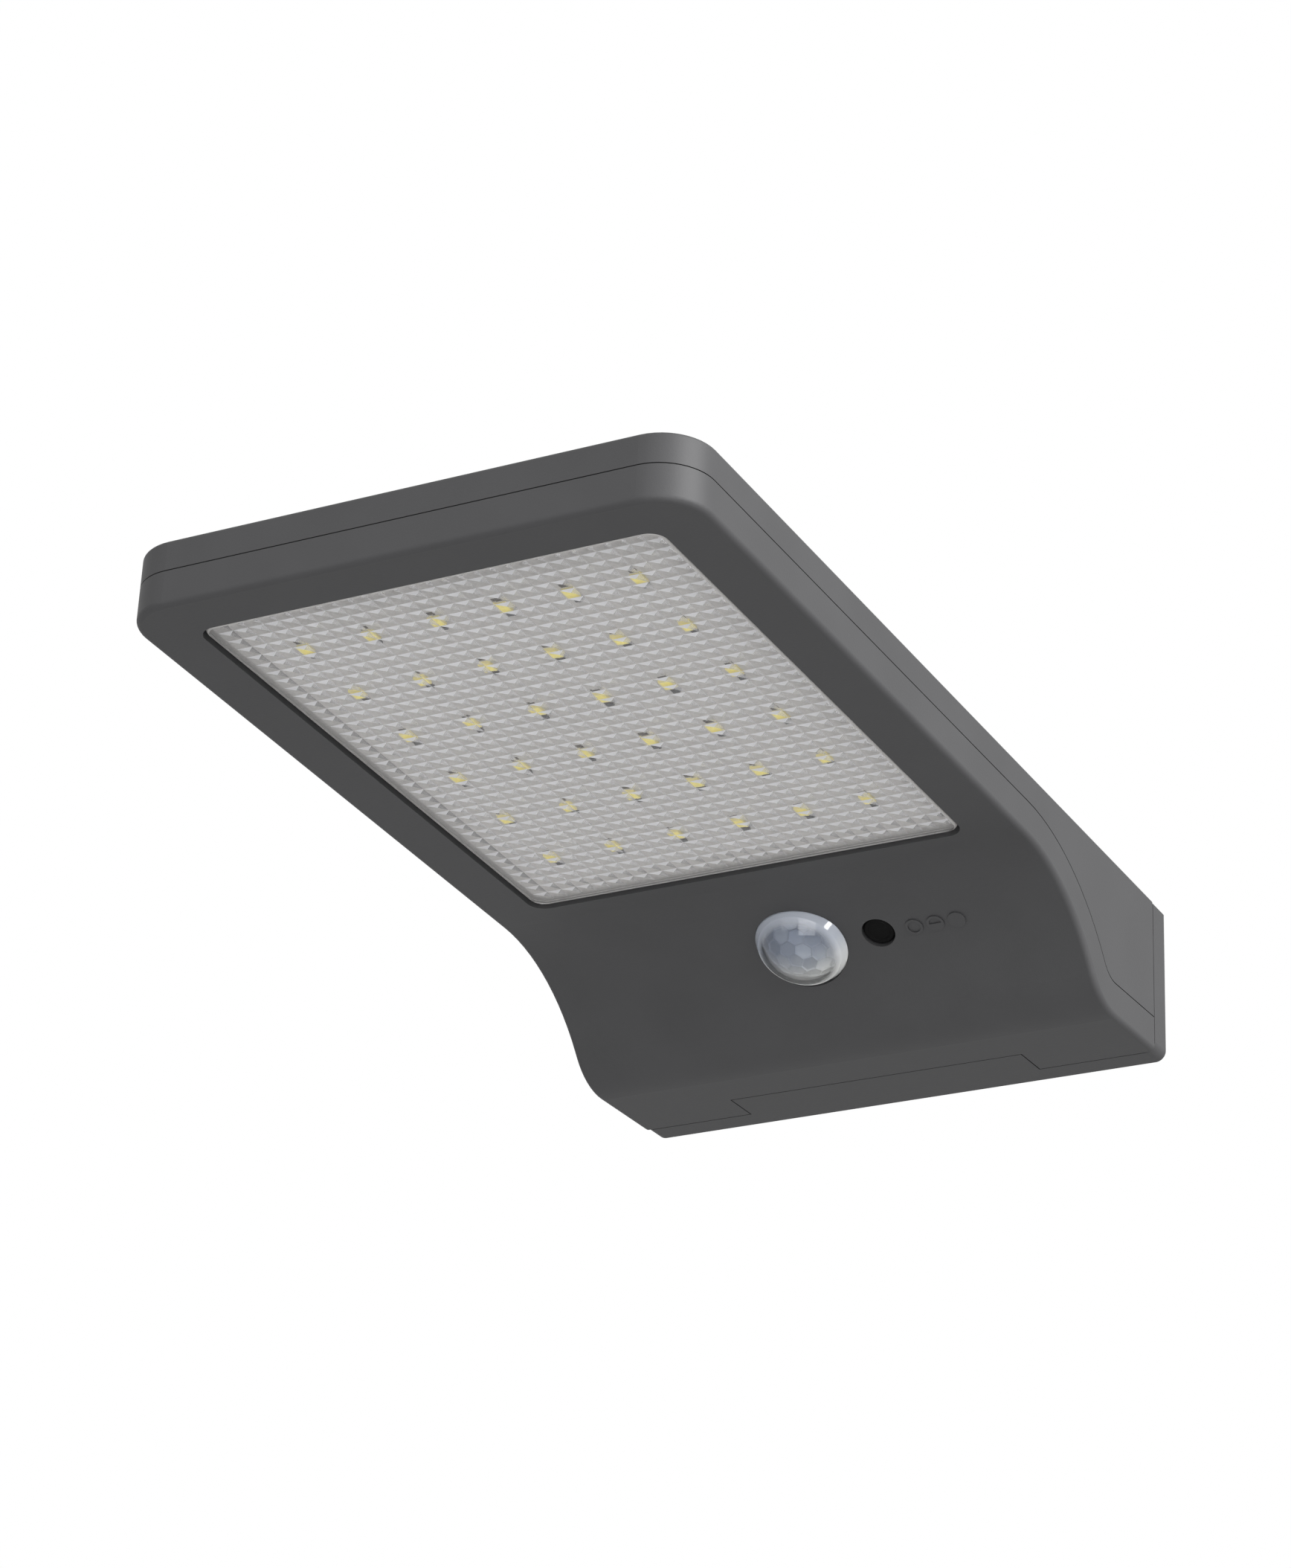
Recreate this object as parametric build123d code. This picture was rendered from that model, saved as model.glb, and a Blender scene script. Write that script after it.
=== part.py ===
from build123d import *
import math
import os

# Wall-mounted solar lamp with a motion sensor.
# Frame: origin at the centre of the wall bracket's back face, +Y into the wall, +Z up, +X to the
# right of someone who faces the wall. The lamp's free end is at -Y. All sizes in millimetres.

# ---- overall sizes ----
BODY_W = 133.0            # lamp and bracket width
HEAD_L = 233.8            # rear top edge to free end, measured along the tilted head
HEAD_T = 15.6             # head thickness
HEAD_TILT = 2.9           # the free end rises by this angle, degrees
BODY_TOP = 19.4           # rear top edge above the origin
BOX_DROP = 22.0           # underside of the wall box, below the head's rear underside
CORNER_R = 11.3           # head corners in plan
EDGE_R = 1.3              # round along the lower outer edges
TOP_EDGE_R = 0.8
WALL = 2.2                # moulded wall

# ---- underside curve ----
CHIN_SLOPE = 52.0         # steepest slope between head and wall box, degrees
CHIN_FOOT = -37.2         # where that slope would meet the flat bottom
NECK_R = 48.0             # hollow curve under the head
CHIN_R = 16.0             # full curve into the bottom

# ---- seam between the two shells ----
SEAM_UP = 8.4             # height of the seam above the underside curve
SEAM_GAP = 0.25           # open groove
SEAM_DEPTH = 0.5          # thickness of the outer skin that the groove parts
TONGUE = 1.6              # how far the lower shell's tongue enters the upper shell
GASKET_T = 0.7

# ---- wall bracket ----
RIM = 6.5                 # bracket depth
REVEAL = 0.3              # gap between bracket and lamp
PLATE_T = 2.5
BRACKET_TOP_STEP = 0.8
BRACKET_CORNER_R = 2.5
TAB_W = 75.0
TAB_REACH = 17.0
TAB_T = 1.8
TAB_CLEAR = 0.3
HOOK_X = 50.0
HOOK_W = 12.0
HOOK_Z = 4.0              # underside of the hook's neck
HOOK_NECK = 3.0
HOOK_LIP = 7.0            # lip height above the neck
HOOK_T = 2.0
HOOK_CLEAR = 0.2
LIFT = 8.0                # lift that frees the lamp
SCREW_SPACING = 60.0
SCREW_HOLE = 4.8
SCREW_BOSS = 11.0
SCREW_BOSS_H = 1.5
RIB_T = 1.6

# ---- solar panel ----
PANEL_W = 117.0
PANEL_L = 205.0
PANEL_FRONT = 9.8         # from the free end to the panel's edge
PANEL_R = 5.0
PANEL_CLEAR = 0.5
PANEL_FLOOR = 1.8
PAD_T = 0.4
PAD_W = 6.0
BACKING_T = 1.0
CELL_T = 0.2
RIBBON_T = 0.1
RIBBON_W = 1.5
COVER_T = 0.7
PANEL_SUNK = 0.1
CELL_COLUMNS = 2
CELL_ROWS = 6
CELL_GAP = 1.5
CELL_MARGIN = 4.0
WIRE_HOLE = 6.0
WIRE_HOLE_X = 6.0
WIRE_HOLE_Y = 49.5        # from the panel's centre towards the wall

# ---- prism lens ----
LENS_W = 107.7
LENS_L = 144.1
LENS_FRONT = 12.35        # from the free end to the lens's edge
LENS_R = 3.5
LENS_RECESS = 0.4
LENS_GAP = 0.5
LENS_FLANGE = 3.5
LENS_FLANGE_T = 1.2
LENS_SEAL_T = 0.4
LENS_EDGE_R = 0.5

# ---- LED board ----
BOARD_T = 1.6
LED_BOARD_W = 126.6
LED_BOARD_L = 152.0
LED_ROWS = 6
LED_PITCH_X = 15.8
LED_PITCH_Y = 21.35
LED_SIZE = (2.8, 3.5, 0.8)
LED_WINDOW = (2.3, 2.9, 0.2)
LED_AIR = 0.3             # between LED faces and the lens
RESISTOR = (1.6, 0.8, 0.5)
RESISTOR_OFFSET = 3.6     # from the LED towards the wall
POST_D = 5.6
LED_POST_X = 60.6
LED_POST_Y = 58.0

# ---- sensor and control board, set out on the hollow curve ----
SENSOR_ANGLE = 31.0       # position round the hollow curve, from straight down
DOME_D = 21.5
DOME_H = 7.0
DOME_WALL = 1.0
DOME_LIP = 2.25           # flange beyond the dome
DOME_FLANGE_T = 1.2
DOME_CLEAR = 0.25
DOME_SEAL_T = 0.6
BOSS_DEPTH = 3.2          # flat inner face of the bosses, below the outer surface
BOSS_WALL = 1.6
BUTTON_OFF = 8.75         # from the dome's edge to the button's centre
BUTTON_HOLE = 7.9
BUTTON_CLEAR = 0.3
BUTTON_SUNK = 0.5
BUTTON_FLANGE_D = 10.4
BUTTON_FLANGE_T = 1.0
BUTTON_GAP = 0.2
BUTTON_TRAVEL = 0.4
SWITCH = 6.0
SWITCH_H = 3.0
PLUNGER_D = 3.4
PLUNGER_IN = 1.0
CONTROL_DEPTH = 8.0       # component face of the control board, below the outer surface
CONTROL_W = 22.0
CONTROL_END = (3.5, 3.4)  # from the posts' centres to the ends of the control board
CONTROL_POST_OFF = (7.5, 8.1)   # from the dome's flange and from the button's centre
CONTROL_POST_Y = 7.5
CONTROL_POST_D = 4.4
CAN_D = 8.2
CAN_H = 4.2
CAN_BASE_D = 9.2
CAN_BASE_T = 0.5
CAN_WINDOW = (4.0, 3.0, 0.3)
MARK_OFF = 9.0            # from the button's centre to the first mark
MARK_PITCH = 5.3
MARK_D = 4.2
MARK_LINE = 0.6
MARK_H = 0.3

# ---- screws ----
SCREW_D = 2.0
SCREW_HEAD_D = 3.8
SCREW_HEAD_H = 1.4
SCREW_IN = 3.2            # length inside a post
SLOT_W = 0.7
SLOT_DEPTH = 0.7

# ---- battery ----
CELL_D = 18.4
CELL_L = 65.0
CELL_Y = -24.0
CELL_RISE = 11.8          # cell's centre above the floor
TERMINAL_D = 6.0
TERMINAL_H = 0.8
CRADLE_L = 74.0           # outside the end walls
CRADLE_T = 1.6
CRADLE_CLEAR = 0.05
CRADLE_END = 1.5          # end walls
CRADLE_ARM = 3.0          # arms reach this far above the cell's centre
CRADLE_FOOT_W = 9.0
EAR_X = 41.0
EAR_T = 2.0
EAR_POST_H = 3.4
STRIP_T = 0.3
STRIP = 8.0

# ---- leads and connectors ----
LEAD_D = 1.4
LEAD_PITCH = 2.0
PLUG = (6.0, 6.0, 3.5)

TILT = math.radians(HEAD_TILT)
SLOPE = math.radians(CHIN_SLOPE)
REAR_Y = -(RIM + REVEAL)
BODY_BOTTOM = BODY_TOP - HEAD_T - BOX_DROP
CELL_Z = BODY_BOTTOM + WALL + CELL_RISE
PANEL_Y = -HEAD_L + PANEL_FRONT + PANEL_L / 2
LENS_Y = -HEAD_L + LENS_FRONT + LENS_L / 2
WIRE_Y = PANEL_Y + WIRE_HOLE_Y
PANEL_DEPTH = PANEL_SUNK + COVER_T + BACKING_T + PAD_T
FLANGE_Z = -HEAD_T + WALL + LENS_SEAL_T
LENS_TOP = FLANGE_Z + LENS_FLANGE_T
LED_FACE = LENS_TOP + LED_AIR
LED_BOARD_Z = LED_FACE + LED_SIZE[2]
TAB_TOP = BODY_BOTTOM + TAB_T
TAB_CEILING = TAB_TOP + TAB_CLEAR
CONTROL_BACK = -CONTROL_DEPTH - BOARD_T
DOME_FLANGE_D = DOME_D + 2 * DOME_LIP
BUTTON_X = DOME_D / 2 + BUTTON_OFF
MARK_X = [BUTTON_X + MARK_OFF + i * MARK_PITCH for i in range(3)]
POST_X0 = -DOME_FLANGE_D / 2 - CONTROL_POST_OFF[0]
POST_X1 = BUTTON_X + CONTROL_POST_OFF[1]
CONTROL_POSTS = [(x, s * CONTROL_POST_Y) for x in (POST_X0, POST_X1) for s in (-1, 1)]
CONTROL_X0 = POST_X0 - CONTROL_END[0]
CONTROL_X1 = POST_X1 + CONTROL_END[1]

head_place = Location((0, REAR_Y, BODY_TOP), (-HEAD_TILT, 0, 0))


def meet(p, d, q, e):
    """Crossing of the line through p along d with the line through q along e."""
    cross = d[0] * e[1] - d[1] * e[0]
    s = ((q[0] - p[0]) * e[1] - (q[1] - p[1]) * e[0]) / cross
    return (p[0] + d[0] * s, p[1] + d[1] * s)


def side_corners(top, under, front, rear):
    """Corners of the side view in (y, z), with each side moved inwards by its own amount."""
    out = (-math.cos(TILT), math.sin(TILT))
    up = (math.sin(TILT), math.cos(TILT))
    chin = (-math.cos(SLOPE), math.sin(SLOPE))
    p_top = (REAR_Y - up[0] * top, BODY_TOP - up[1] * top)
    p_front = (REAR_Y + out[0] * (HEAD_L - front), BODY_TOP + out[1] * (HEAD_L - front))
    p_under = (REAR_Y - up[0] * (HEAD_T - under), BODY_TOP - up[1] * (HEAD_T - under))
    p_chin = (CHIN_FOOT + math.sin(SLOPE) * under, BODY_BOTTOM + math.cos(SLOPE) * under)
    p_bottom = (0, BODY_BOTTOM + under)
    p_rear = (REAR_Y - rear, 0)
    return [
        meet(p_top, out, p_rear, (0, 1)),
        meet(p_top, out, p_front, up),
        meet(p_under, out, p_front, up),
        meet(p_under, out, p_chin, chin),
        meet(p_bottom, (1, 0), p_chin, chin),
        meet(p_bottom, (1, 0), p_rear, (0, 1)),
    ]


def body(top=0.0, under=0.0, front=0.0, rear=0.0, side=0.0):
    """The lamp's outline as one solid, each face moved inwards by its own amount."""
    corners = side_corners(top, under, front, rear)
    radii = [0, 0, 0, NECK_R + under, CHIN_R - under, 0]
    outline = FilletPolyline(*corners, radius=radii, close=True)
    profile = Plane.YZ * make_face(outline)
    long = extrude(profile, amount=BODY_W / 2 - side, both=True)
    reach = HEAD_L - front + 60
    plan = Pos(0, reach / 2 - HEAD_L + front, 0) * RectangleRounded(
        BODY_W - 2 * side, reach, CORNER_R - side
    )
    column = head_place * extrude(plan, amount=100, both=True)
    return (long & column).solid()


def inset(amount):
    return body(amount, amount, amount, amount, amount)


def slab(w, l, z0, z1, x=0.0, y=0.0, r=0.0):
    """Flat block between two levels, with round corners in plan where r is given."""
    outline = RectangleRounded(w, l, r) if r > 0 else Rectangle(w, l)
    return Pos(x, y, z0) * extrude(outline, amount=z1 - z0)


def rod(d, z0, z1, x=0.0, y=0.0):
    return Pos(x, y, z0) * extrude(Circle(d / 2), amount=z1 - z0)


def head(shape):
    return head_place * shape


def block(x0, x1, y0, y1, z0, z1):
    centre = ((x0 + x1) / 2, (y0 + y1) / 2, (z0 + z1) / 2)
    return Pos(*centre) * Box(x1 - x0, y1 - y0, z1 - z0)


def sensor_frame():
    """Location on the hollow curve: +Z out of the lamp, +X along the lamp's +X."""
    corner = side_corners(0, 0, 0, 0)[3]
    run = NECK_R * math.tan((SLOPE - TILT) / 2)
    start = (corner[0] - math.cos(TILT) * run, corner[1] + math.sin(TILT) * run)
    centre = (start[0] - math.sin(TILT) * NECK_R, start[1] - math.cos(TILT) * NECK_R)
    a = math.radians(SENSOR_ANGLE)
    origin = (0, centre[0] + NECK_R * math.sin(a), centre[1] + NECK_R * math.cos(a))
    return Plane(origin=origin, x_dir=(1, 0, 0), z_dir=(0, -math.sin(a), -math.cos(a))).location


sensor_place = sensor_frame()


def sensor(shape):
    return sensor_place * shape


def sensor_point(x, y, z):
    return tuple((sensor_place * Pos(x, y, z)).position)


def head_point(x, y, z):
    return tuple((head_place * Pos(x, y, z)).position)


def screw(z_seat, direction):
    """Cross-slotted self-tapping screw on the Z axis, its head on z_seat, its thread along direction."""
    thread = rod(SCREW_D, 0, BOARD_T + SCREW_IN)
    crown = rod(SCREW_HEAD_D, -SCREW_HEAD_H, 0)
    crown = fillet(crown.edges().group_by(Axis.Z)[0], SCREW_HEAD_H / 3)
    slot = Pos(0, 0, -SCREW_HEAD_H + SLOT_DEPTH / 2) * Box(SCREW_HEAD_D * 0.6, SLOT_W, SLOT_DEPTH)
    made = thread + crown - slot - Rot(0, 0, 90) * slot
    turn = Rot(0, 0, 0) if direction > 0 else Rot(180, 0, 0)
    return Pos(0, 0, z_seat) * turn * made


def lead(points):
    """Round lead along straight runs joined by tangent arcs as large as the runs allow."""
    vectors = [Vector(*p) for p in points]
    radii = []
    for a, b, c in zip(vectors, vectors[1:], vectors[2:]):
        half = math.radians((b - a).get_angle(c - b)) / 2
        radii.append(0.45 * min((b - a).length, (c - b).length) / math.tan(half))
    path = FilletPolyline(*points, radius=radii)
    start = Plane(origin=path @ 0, z_dir=path % 0)
    return sweep(start * Circle(LEAD_D / 2), path=path)


def together(solids, place=lambda shape: shape):
    """Separate solids of one node, each put in place first."""
    return Compound([place(s).solid() for s in solids])


# ---- shells ----
def outer_body():
    made = body()
    under = [f for f in made.faces() if f.normal_at(f.center()).Z < -0.3]
    lower = [
        e for f in under for e in f.edges()
        if abs(e.center().X) > 1 or e.center().Y < REAR_Y - 0.9 * HEAD_L
    ]
    made = fillet(lower, EDGE_R)
    top = made.faces().sort_by(Axis.Z)[-1]
    upper = [e for e in top.edges() if e.center().Y < REAR_Y - 0.1]
    return fillet(upper, TOP_EDGE_R)


def above_seam(shift):
    """Everything above the seam curve moved up by shift."""
    return body(-10, SEAM_UP + shift, -10, -10, -10)


outer = outer_body()
cavity = inset(WALL)
half = inset(SEAM_DEPTH)
inner_skin = half - cavity
outer_skin = outer - half

panel_recess = head(slab(PANEL_W + 2 * PANEL_CLEAR, PANEL_L + 2 * PANEL_CLEAR, -PANEL_DEPTH, 5,
                         y=PANEL_Y, r=PANEL_R + PANEL_CLEAR))
panel_tray = head(slab(PANEL_W + 2 * WALL, PANEL_L + 2 * WALL, -PANEL_DEPTH - PANEL_FLOOR, -WALL / 2,
                       y=PANEL_Y, r=PANEL_R + WALL))
wire_hole = head(rod(WIRE_HOLE, -PANEL_DEPTH - PANEL_FLOOR - 1, 0, WIRE_HOLE_X, WIRE_Y))

slot_w = HOOK_W + 4 * HOOK_CLEAR
slot_z0 = HOOK_Z - LIFT - 2 * HOOK_CLEAR
slot_z1 = HOOK_Z + HOOK_NECK + HOOK_CLEAR / 2
hook_slots = [
    block(s * HOOK_X - slot_w / 2, s * HOOK_X + slot_w / 2, REAR_Y - WALL - 1, REAR_Y + 1, slot_z0, slot_z1)
    for s in (-1, 1)
]


def make_top_shell():
    rim = outer_skin & above_seam(SEAM_GAP / 2)
    lining = inner_skin & above_seam(TONGUE)
    made = rim + lining + panel_tray - panel_recess - wire_hole
    for hole in hook_slots:
        made -= hole
    return made


def sensor_posts():
    boss = sensor(rod(DOME_D + 2 * DOME_CLEAR + 2 * BOSS_WALL + 4, -BOSS_DEPTH, 4))
    boss += sensor(rod(BUTTON_HOLE + 2 * BOSS_WALL + 2, -BOSS_DEPTH, 4, BUTTON_X))
    made = boss & outer
    for x, y in CONTROL_POSTS:
        made += sensor(rod(CONTROL_POST_D, -CONTROL_DEPTH, 4, x, y)) & half
    return made


def control_screw_places():
    return [Pos(x, y, 0) for x, y in CONTROL_POSTS]


def led_post_places():
    return [Pos(i * LED_POST_X, LENS_Y + j * LED_POST_Y, 0) for i in (-1, 1) for j in (-1, 1)]


def mode_marks():
    """Three raised rings that stand for the light modes: open, half filled and filled."""
    made = []
    for index, x in enumerate(MARK_X):
        ring = rod(MARK_D, -2, 4, x)
        hole = rod(MARK_D - 2 * MARK_LINE, -3, 5, x)
        if index == 0:
            ring -= hole
        if index == 1:
            ring -= hole & Pos(x, MARK_D / 2, 0) * Box(MARK_D, MARK_D, 12)
        made.append((sensor(ring) & body(0, -MARK_H, 0, 0, 0) - inset(WALL / 2)))
    return made


def make_bottom_shell():
    rim = outer_skin - above_seam(-SEAM_GAP / 2)
    lining = inner_skin - above_seam(TONGUE - GASKET_T)
    made = rim + lining
    step_w = TAB_W / 2 + 3 * WALL
    step = block(-step_w, step_w, -TAB_REACH - WALL - TAB_CLEAR, REAR_Y - WALL / 2,
                 BODY_BOTTOM + WALL / 2, TAB_CEILING + WALL - TAB_CLEAR)
    made += step & half
    made += sensor_posts()
    for mark in mode_marks():
        made += mark
    for x in (-EAR_X, EAR_X):
        made += rod(POST_D, BODY_BOTTOM + WALL / 2, BODY_BOTTOM + WALL + EAR_POST_H, x, CELL_Y)
    for place in led_post_places():
        made += head(place * rod(POST_D, -HEAD_T + WALL / 2, LED_BOARD_Z))
    made -= block(-TAB_W / 2 - TAB_CLEAR, TAB_W / 2 + TAB_CLEAR, -TAB_REACH - TAB_CLEAR, 0,
                  BODY_BOTTOM - 5, TAB_CEILING)
    made -= head(slab(LENS_W + 2 * LENS_GAP, LENS_L + 2 * LENS_GAP, -HEAD_T - 1, FLANGE_Z,
                      y=LENS_Y, r=LENS_R + LENS_GAP))
    made -= sensor(rod(DOME_D + 2 * DOME_CLEAR, -BOSS_DEPTH - 1, 5))
    made -= sensor(rod(BUTTON_HOLE, -BOSS_DEPTH - 1, 5, BUTTON_X))
    for place in control_screw_places():
        made -= sensor(place * rod(SCREW_D, -CONTROL_DEPTH - 1, -CONTROL_DEPTH + SCREW_IN))
    for place in led_post_places():
        made -= head(place * rod(SCREW_D, LED_BOARD_Z - SCREW_IN, LED_BOARD_Z + 1))
    seat = BODY_BOTTOM + WALL + EAR_POST_H
    for x in (-EAR_X, EAR_X):
        made -= rod(SCREW_D, seat + EAR_T - BOARD_T - SCREW_IN, seat + 1, x, CELL_Y)
    return made


def make_seam_gasket():
    return inner_skin & above_seam(TONGUE - GASKET_T) - above_seam(TONGUE)


# ---- bracket ----
def make_bracket():
    z0 = BODY_BOTTOM
    z1 = BODY_TOP - BRACKET_TOP_STEP
    drop = RIM * math.tan(TILT)
    side = Plane.YZ * make_face(Polyline((0, z0), (-RIM, z0), (-RIM, z1), (0, z1 - drop), close=True))
    made = extrude(side, amount=BODY_W / 2, both=True)
    made = fillet(made.edges().filter_by(Axis.Y).group_by(Axis.Z)[0], BRACKET_CORNER_R)
    hollow = block(-BODY_W / 2 + WALL, BODY_W / 2 - WALL, -RIM - 1, -PLATE_T, z0 + WALL, z1 - drop - WALL)
    made -= hollow
    for x in (-SCREW_SPACING / 4, SCREW_SPACING / 4):
        made += block(x - RIB_T / 2, x + RIB_T / 2, -RIM, -PLATE_T, z0 + WALL, z1 - drop - WALL)
    made += block(-TAB_W / 2, TAB_W / 2, -TAB_REACH, -RIM, z0, TAB_TOP)
    lip_y = REAR_Y - WALL - HOOK_CLEAR
    for s in (-1, 1):
        x0 = s * HOOK_X - HOOK_W / 2
        x1 = s * HOOK_X + HOOK_W / 2
        made += block(x0, x1, lip_y - HOOK_T, -PLATE_T, HOOK_Z, HOOK_Z + HOOK_NECK)
        made += block(x0, x1, lip_y - HOOK_T, lip_y, HOOK_Z, HOOK_Z + HOOK_NECK + HOOK_LIP)
        across = Pos(s * SCREW_SPACING / 2, 0, 0) * Rot(90, 0, 0)
        made += across * Cylinder(SCREW_BOSS / 2, PLATE_T + SCREW_BOSS_H,
                                  align=(Align.CENTER, Align.CENTER, Align.MIN))
        made -= across * Cylinder(SCREW_HOLE / 2, 3 * RIM)
    return made


# ---- solar panel ----
def cell_grid():
    w = (PANEL_W - 2 * CELL_MARGIN - (CELL_COLUMNS - 1) * CELL_GAP) / CELL_COLUMNS
    l = (PANEL_L - 2 * CELL_MARGIN - (CELL_ROWS - 1) * CELL_GAP) / CELL_ROWS
    places = []
    for i in range(CELL_COLUMNS):
        for j in range(CELL_ROWS):
            x = (i - (CELL_COLUMNS - 1) / 2) * (w + CELL_GAP)
            y = PANEL_Y + (j - (CELL_ROWS - 1) / 2) * (l + CELL_GAP)
            places.append((x, y))
    return w, l, places


cell_w, cell_l, cell_places = cell_grid()
PAD_Z = -PANEL_DEPTH
BACKING_Z = PAD_Z + PAD_T
CELL_BASE = BACKING_Z + BACKING_T


def make_panel_pad():
    ring = slab(PANEL_W, PANEL_L, PAD_Z, BACKING_Z, y=PANEL_Y, r=PANEL_R)
    return ring - slab(PANEL_W - 2 * PAD_W, PANEL_L - 2 * PAD_W, PAD_Z - 1, 0, y=PANEL_Y)


def solar_cells():
    return [slab(cell_w, cell_l, CELL_BASE, CELL_BASE + CELL_T, x, y) for x, y in cell_places]


def solar_ribbons():
    strips = []
    length = CELL_ROWS * cell_l + (CELL_ROWS - 1) * CELL_GAP
    for x in sorted({p[0] for p in cell_places}):
        for share in (-0.25, 0.25):
            z = CELL_BASE + CELL_T
            strips.append(slab(RIBBON_W, length, z, z + RIBBON_T, x + share * cell_w, PANEL_Y))
    return strips


def make_cover():
    made = slab(PANEL_W, PANEL_L, CELL_BASE, -PANEL_SUNK, y=PANEL_Y, r=PANEL_R)
    for piece in solar_cells() + solar_ribbons():
        made -= piece
    return made


# ---- lens and LED board ----
def make_lens():
    made = slab(LENS_W, LENS_L, -HEAD_T + LENS_RECESS, FLANGE_Z, y=LENS_Y, r=LENS_R)
    made = fillet(made.edges().group_by(Axis.Z)[0], LENS_EDGE_R)
    return made + slab(LENS_W + 2 * LENS_FLANGE, LENS_L + 2 * LENS_FLANGE, FLANGE_Z, LENS_TOP,
                       y=LENS_Y, r=LENS_R + LENS_FLANGE)


def make_lens_seal():
    made = slab(LENS_W + 2 * LENS_FLANGE, LENS_L + 2 * LENS_FLANGE, -HEAD_T + WALL, FLANGE_Z,
                y=LENS_Y, r=LENS_R + LENS_FLANGE)
    return made - slab(LENS_W + 2 * LENS_GAP, LENS_L + 2 * LENS_GAP, -HEAD_T, 0,
                       y=LENS_Y, r=LENS_R + LENS_GAP)


def led_places():
    centre = (LED_ROWS - 1) / 2
    return [
        ((i - centre) * LED_PITCH_X, LENS_Y + (j - centre) * LED_PITCH_Y)
        for i in range(LED_ROWS) for j in range(LED_ROWS)
    ]


def make_led_board():
    made = slab(LED_BOARD_W, LED_BOARD_L, LED_BOARD_Z, LED_BOARD_Z + BOARD_T, y=LENS_Y, r=3)
    for place in led_post_places():
        made -= place * rod(SCREW_D, LED_BOARD_Z - 1, LED_BOARD_Z + BOARD_T + 1)
    return made


def led_bodies():
    w, l = LED_SIZE[:2]
    ww, wl, wh = LED_WINDOW
    return [
        slab(w, l, LED_FACE, LED_BOARD_Z, x, y) - slab(ww, wl, LED_FACE - 1, LED_FACE + wh, x, y)
        for x, y in led_places()
    ]


def led_windows():
    w, l, h = LED_WINDOW
    return [slab(w, l, LED_FACE, LED_FACE + h, x, y) for x, y in led_places()]


def resistors():
    w, l, h = RESISTOR
    return [slab(w, l, LED_BOARD_Z - h, LED_BOARD_Z, x, y + RESISTOR_OFFSET) for x, y in led_places()]


# ---- sensor, button and control board ----
def make_dome():
    r = DOME_D / 2
    base = -BOSS_DEPTH - DOME_SEAL_T
    shoulder = 0.5
    rise = DOME_H - shoulder
    outside = (r * r + rise * rise) / (2 * rise)
    inside = outside - DOME_WALL
    ball_z = DOME_H - outside
    cap = Pos(0, 0, ball_z) * Sphere(outside) & rod(DOME_D, shoulder, DOME_H)
    bore = rod(DOME_D - 2 * DOME_WALL, base - DOME_FLANGE_T, shoulder - 0.5)
    bore += Pos(0, 0, ball_z) * Sphere(inside) & rod(DOME_D - 2 * DOME_WALL, shoulder - 0.5, DOME_H)
    flange = rod(DOME_FLANGE_D, base - DOME_FLANGE_T, base)
    return rod(DOME_D, base, shoulder) + cap + flange - bore


def make_dome_seal():
    base = -BOSS_DEPTH - DOME_SEAL_T
    return rod(DOME_FLANGE_D, base, -BOSS_DEPTH) - rod(DOME_D + 2 * DOME_CLEAR, base - 1, 0)


def make_dome_holder():
    top = -BOSS_DEPTH - DOME_SEAL_T - DOME_FLANGE_T
    return rod(DOME_FLANGE_D, -CONTROL_DEPTH, top) - rod(DOME_D, -CONTROL_DEPTH - 1, 0)


FLANGE_TOP = -BOSS_DEPTH - BUTTON_GAP
FLANGE_BACK = FLANGE_TOP - BUTTON_FLANGE_T


def make_button():
    cap = rod(BUTTON_HOLE - 2 * BUTTON_CLEAR, FLANGE_TOP, -BUTTON_SUNK, BUTTON_X)
    cap = fillet(cap.edges().group_by(Axis.Z)[-1], 0.6)
    return cap + rod(BUTTON_FLANGE_D, FLANGE_BACK, FLANGE_TOP, BUTTON_X)


def make_plunger():
    return rod(PLUNGER_D, -CONTROL_DEPTH + SWITCH_H - PLUNGER_IN, FLANGE_BACK, BUTTON_X)


def make_switch():
    top = -CONTROL_DEPTH + SWITCH_H
    made = slab(SWITCH, SWITCH, -CONTROL_DEPTH, top, BUTTON_X, 0)
    well = PLUNGER_IN + 2 * BUTTON_TRAVEL
    return made - rod(PLUNGER_D + 2 * BUTTON_CLEAR, top - well, top + 1, BUTTON_X)


def make_control_board():
    w = CONTROL_X1 - CONTROL_X0
    made = slab(w, CONTROL_W, CONTROL_BACK, -CONTROL_DEPTH, (CONTROL_X0 + CONTROL_X1) / 2, 0, r=1.5)
    for place in control_screw_places():
        made -= place * rod(SCREW_D, CONTROL_BACK - 1, 0)
    return made


def make_can():
    window = make_can_window()
    made = rod(CAN_D, -CONTROL_DEPTH, -CONTROL_DEPTH + CAN_H)
    made = fillet(made.edges().group_by(Axis.Z)[-1], 0.4)
    return made + rod(CAN_BASE_D, -CONTROL_DEPTH, -CONTROL_DEPTH + CAN_BASE_T) - window


def make_can_window():
    w, l, h = CAN_WINDOW
    top = -CONTROL_DEPTH + CAN_H
    return slab(w, l, top - h, top)


def control_chips():
    return [
        slab(5.0, 4.0, CONTROL_BACK - 1.6, CONTROL_BACK, -5.0, 5.5),
        slab(3.0, 3.0, CONTROL_BACK - 1.1, CONTROL_BACK, 6.0, 6.5),
    ]


def make_capacitor():
    made = rod(5.0, CONTROL_BACK - 5.4, CONTROL_BACK, 11.0, -5.0)
    return fillet(made.edges().group_by(Axis.Z)[0], 0.5)


LED_PLUG = (-14.0, 2.0)
PANEL_PLUG = (3.0, -1.0)
BATTERY_PLUG = (19.0, -2.0)


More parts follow.
